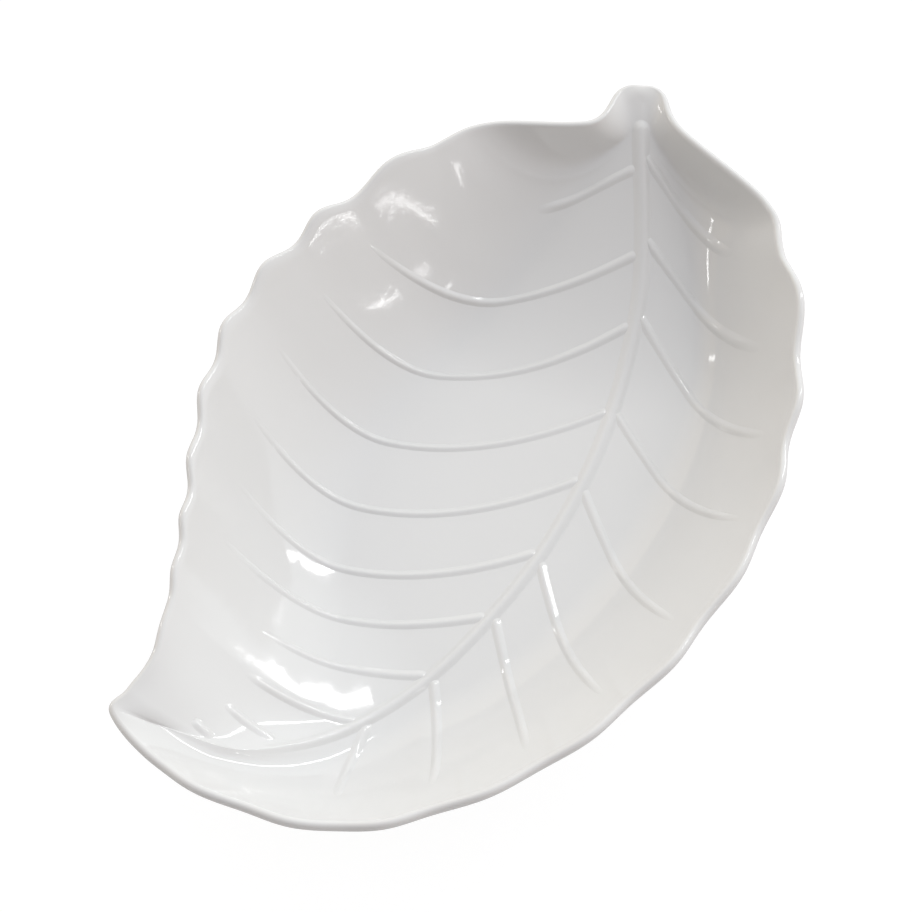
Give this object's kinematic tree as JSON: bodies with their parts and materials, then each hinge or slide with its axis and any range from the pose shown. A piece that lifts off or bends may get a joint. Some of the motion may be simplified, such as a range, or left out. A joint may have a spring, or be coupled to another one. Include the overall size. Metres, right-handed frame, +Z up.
{
  "type": "leaf dish",
  "caption": "Deep white leaf-shaped serving dish with a lobed rim, short stem, bent tip, raised midrib and side veins, and a foot ring.",
  "frame": {"origin": "centre of the dish's outline in plan, on the table plane that the foot ring stands on", "axes": "+X from the stem to the tip, +Y to the narrow side of the leaf, +Z up"},
  "size_m": [0.3158, 0.1972, 0.0528],
  "materials": {
    "melamine": "white melamine, moulded and polished to a soft gloss"
  },
  "bodies": {
    "root": {"leaf_dish": "melamine", "foot_ring": "melamine", "midrib": "melamine", "broad_side_veins": "melamine", "narrow_side_veins": "melamine"}
  },
  "joints": []
}
